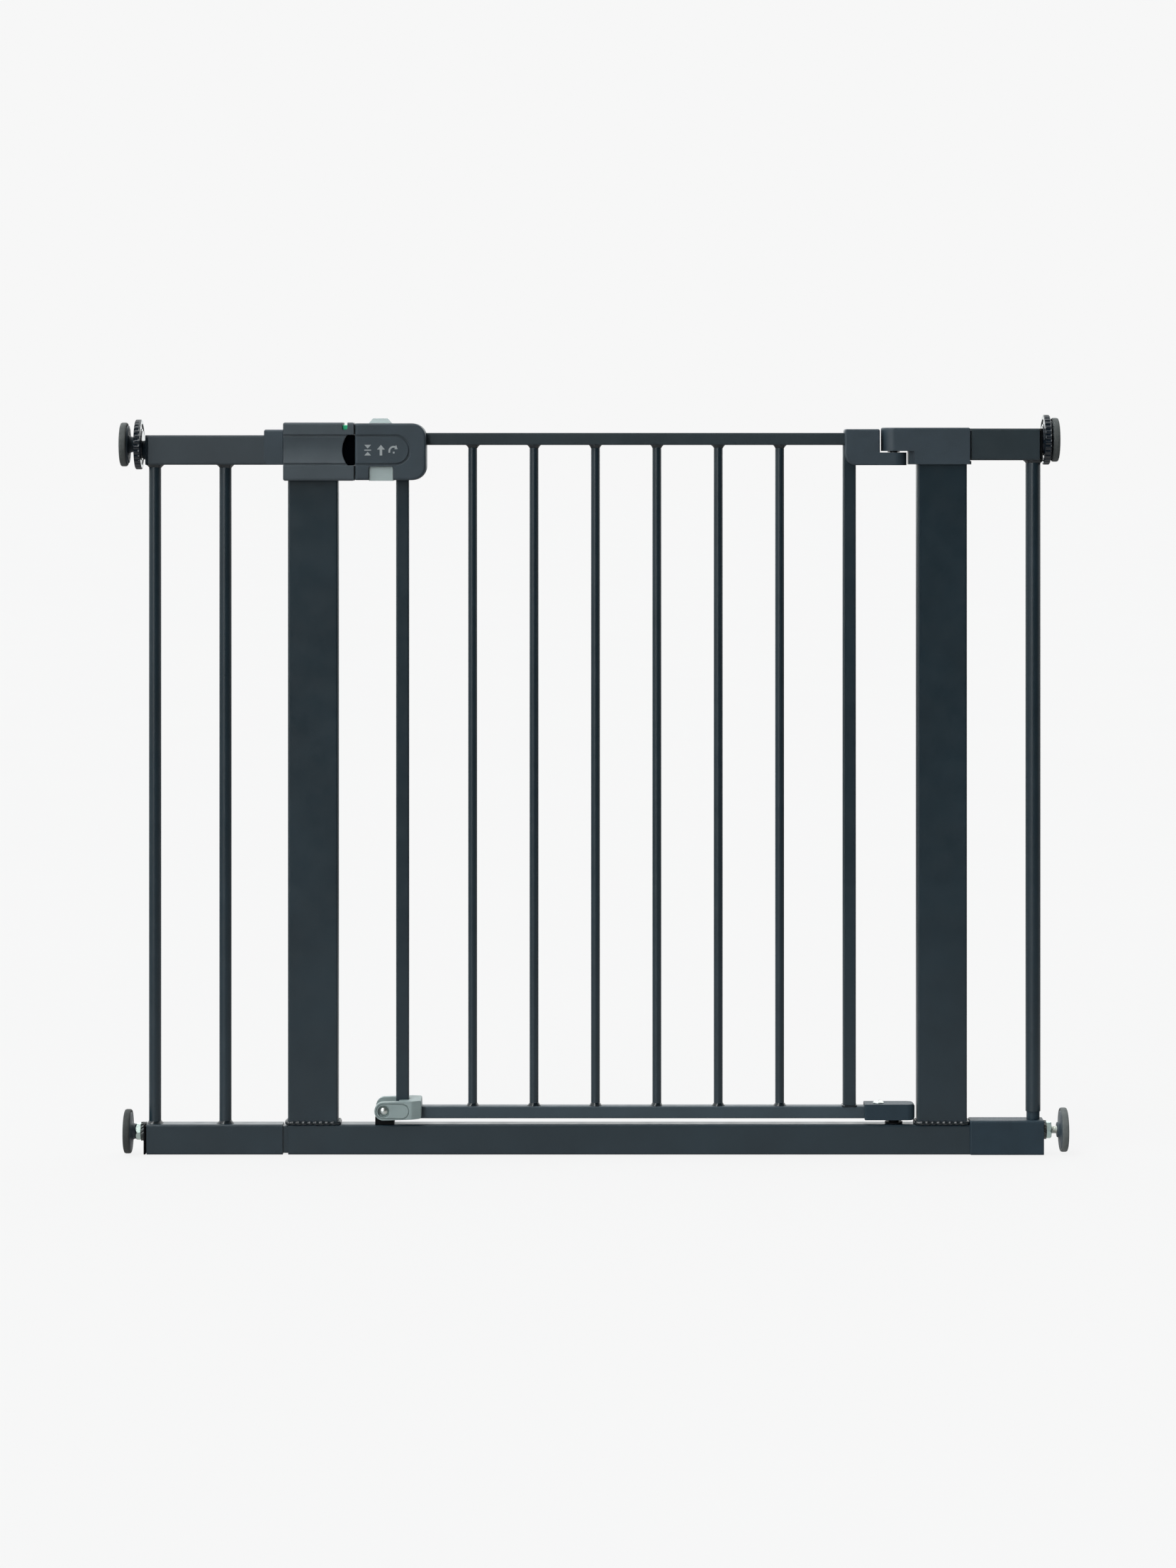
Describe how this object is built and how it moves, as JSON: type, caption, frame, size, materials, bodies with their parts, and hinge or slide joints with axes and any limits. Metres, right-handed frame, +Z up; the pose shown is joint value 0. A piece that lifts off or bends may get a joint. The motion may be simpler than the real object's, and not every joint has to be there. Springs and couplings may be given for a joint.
{
  "type": "stair gate",
  "caption": "Pressure-fit stair gate: a tubular frame with wall pads, a barred swing door, a squeeze-and-lift latch with an indicator, a foot lock and a side hinge.",
  "frame": {"origin": "on the floor, under the middle of the gate's overall box", "axes": "+X from the latch side to the hinge side, -Y the front with the latch's raised panel, +Z up"},
  "size_m": [0.9672, 0.0506, 0.7548],
  "materials": {
    "powder_coated_steel": "satin powder coat",
    "housing_plastic": "fine moulded grain",
    "latch_plastic": "fine moulded grain",
    "black_plastic": "moulded",
    "grey_plastic": "satin moulded",
    "green_plastic": "smooth",
    "wheel_plastic": "glossy moulded",
    "pad_rubber": "matte",
    "zinc_steel": "bright zinc plate",
    "spring_steel": "drawn wire"
  },
  "bodies": {
    "frame": {"base_tube": "powder_coated_steel", "left_post": "powder_coated_steel", "right_post": "powder_coated_steel", "left_ext_top_tube": "powder_coated_steel", "left_ext_base_tube": "powder_coated_steel", "left_ext_bars": "powder_coated_steel", "left_base_joiner": "powder_coated_steel", "right_ext_top_tube": "powder_coated_steel", "right_top_joiner": "powder_coated_steel", "right_ext_bar": "powder_coated_steel", "right_ext_bar_plug": "black_plastic", "left_top_end_cap": "black_plastic", "left_base_end_cap": "black_plastic", "right_top_end_cap": "black_plastic", "right_base_sleeve": "housing_plastic", "left_collar": "housing_plastic", "lower_hinge_peg": "black_plastic", "lower_latch_stub": "black_plastic", "catch_front_shell": "housing_plastic", "catch_rear_shell": "housing_plastic", "catch_liner": "black_plastic", "catch_screws": "zinc_steel", "upper_hinge_cap": "housing_plastic", "lock_washers": "zinc_steel", "indicator_spring": "spring_steel"},
    "hinge_pivot": {"upper_hinge_pin": "zinc_steel", "hinge_washer": "black_plastic"},
    "gate": {"gate_top_rail": "powder_coated_steel", "gate_bottom_rail": "powder_coated_steel", "gate_latch_stile": "powder_coated_steel", "gate_hinge_stile": "powder_coated_steel", "gate_bars": "powder_coated_steel", "upper_hinge_bracket": "housing_plastic", "lower_hinge_cap": "housing_plastic", "lower_hinge_screw": "zinc_steel", "foot_clamp": "grey_plastic", "foot_bolt": "zinc_steel", "foot_nut": "zinc_steel", "latch_front_shell": "latch_plastic", "latch_rear_shell": "latch_plastic", "latch_screws": "zinc_steel", "bolt_spring": "spring_steel", "top_button_spring": "spring_steel", "bottom_button_spring": "spring_steel"},
    "top_button": {"top_button": "grey_plastic"},
    "bottom_button": {"bottom_button": "grey_plastic"},
    "bolt": {"bolt": "black_plastic"},
    "indicator": {"indicator_flag": "green_plastic"},
    "hand_wheel_left": {"hand_wheel_left": "wheel_plastic"},
    "spindle_upper_left": {"spindle_upper_left": "zinc_steel", "pad_upper_left": "pad_rubber"},
    "hand_wheel_right": {"hand_wheel_right": "wheel_plastic"},
    "spindle_upper_right": {"spindle_upper_right": "zinc_steel", "pad_upper_right": "pad_rubber"},
    "nut_left": {"nut_left": "zinc_steel"},
    "spindle_lower_left": {"spindle_lower_left": "zinc_steel", "pad_lower_left": "pad_rubber"},
    "nut_right": {"nut_right": "zinc_steel"},
    "spindle_lower_right": {"spindle_lower_right": "zinc_steel", "pad_lower_right": "pad_rubber"}
  },
  "joints": [
    {"name": "gate_swing", "type": "hinge", "parent": "frame", "child": "hinge_pivot", "pos_m": [0.3065, 0, 0.7105], "axis": [0, 0, 1], "range_deg": [-90, 90]},
    {"name": "gate_lift", "type": "hinge", "parent": "hinge_pivot", "child": "gate", "pos_m": [0.3065, 0, 0.7105], "axis": [0, 1, 0], "range_deg": [0, 0.6]},
    {"name": "top_button_press", "type": "slide", "parent": "gate", "child": "top_button", "axis": [0, 0, -1], "range_m": [0, 0.005], "stiffness_N_per_m": 900, "springref_m": -0.004, "deforming": ["top_button_spring", "bottom_button_spring", "bolt_spring", "indicator_spring"]},
    {"name": "bottom_button_press", "type": "slide", "parent": "gate", "child": "bottom_button", "axis": [0, 0, 1], "range_m": [0, 0.005]},
    {"name": "bolt_retract", "type": "slide", "parent": "gate", "child": "bolt", "axis": [1, 0, 0], "range_m": [0, 0.008]},
    {"name": "indicator_shift", "type": "slide", "parent": "frame", "child": "indicator", "axis": [1, 0, 0], "range_m": [0, 0.0058]},
    {"name": "hand_wheel_left_turn", "type": "hinge", "parent": "frame", "child": "hand_wheel_left", "pos_m": [-0.46, 0, 0.7246], "axis": [-1, 0, 0], "range_deg": [0, 3600]},
    {"name": "upper_left_pad_slide", "type": "slide", "parent": "frame", "child": "spindle_upper_left", "axis": [-1, 0, 0], "range_m": [0, 0.025]},
    {"name": "hand_wheel_right_turn", "type": "hinge", "parent": "frame", "child": "hand_wheel_right", "pos_m": [0.46, 0, 0.7294], "axis": [1, 0, 0], "range_deg": [0, 3600]},
    {"name": "upper_right_pad_slide", "type": "slide", "parent": "frame", "child": "spindle_upper_right", "axis": [1, 0, 0], "range_m": [0, 0.025]},
    {"name": "nut_left_turn", "type": "hinge", "parent": "frame", "child": "nut_left", "pos_m": [-0.46, 0, 0.0226], "axis": [-1, 0, 0], "range_deg": [0, 3600]},
    {"name": "lower_left_pad_slide", "type": "slide", "parent": "frame", "child": "spindle_lower_left", "axis": [-1, 0, 0], "range_m": [0, 0.025]},
    {"name": "nut_right_turn", "type": "hinge", "parent": "frame", "child": "nut_right", "pos_m": [0.46, 0, 0.0242], "axis": [1, 0, 0], "range_deg": [0, 3600]},
    {"name": "lower_right_pad_slide", "type": "slide", "parent": "frame", "child": "spindle_lower_right", "axis": [1, 0, 0], "range_m": [0, 0.025]}
  ],
  "couplings": [
    {"joint": "bottom_button_press", "follows": "top_button_press", "ratio": 1},
    {"joint": "bolt_retract", "follows": "top_button_press", "ratio": 1.6},
    {"joint": "indicator_shift", "follows": "top_button_press", "ratio": 1.16},
    {"joint": "hand_wheel_left_turn", "follows": "upper_left_pad_slide", "rad_per_m": 2513.3},
    {"joint": "hand_wheel_right_turn", "follows": "upper_right_pad_slide", "rad_per_m": 2513.3},
    {"joint": "nut_left_turn", "follows": "lower_left_pad_slide", "rad_per_m": 2513.3},
    {"joint": "nut_right_turn", "follows": "lower_right_pad_slide", "rad_per_m": 2513.3}
  ]
}
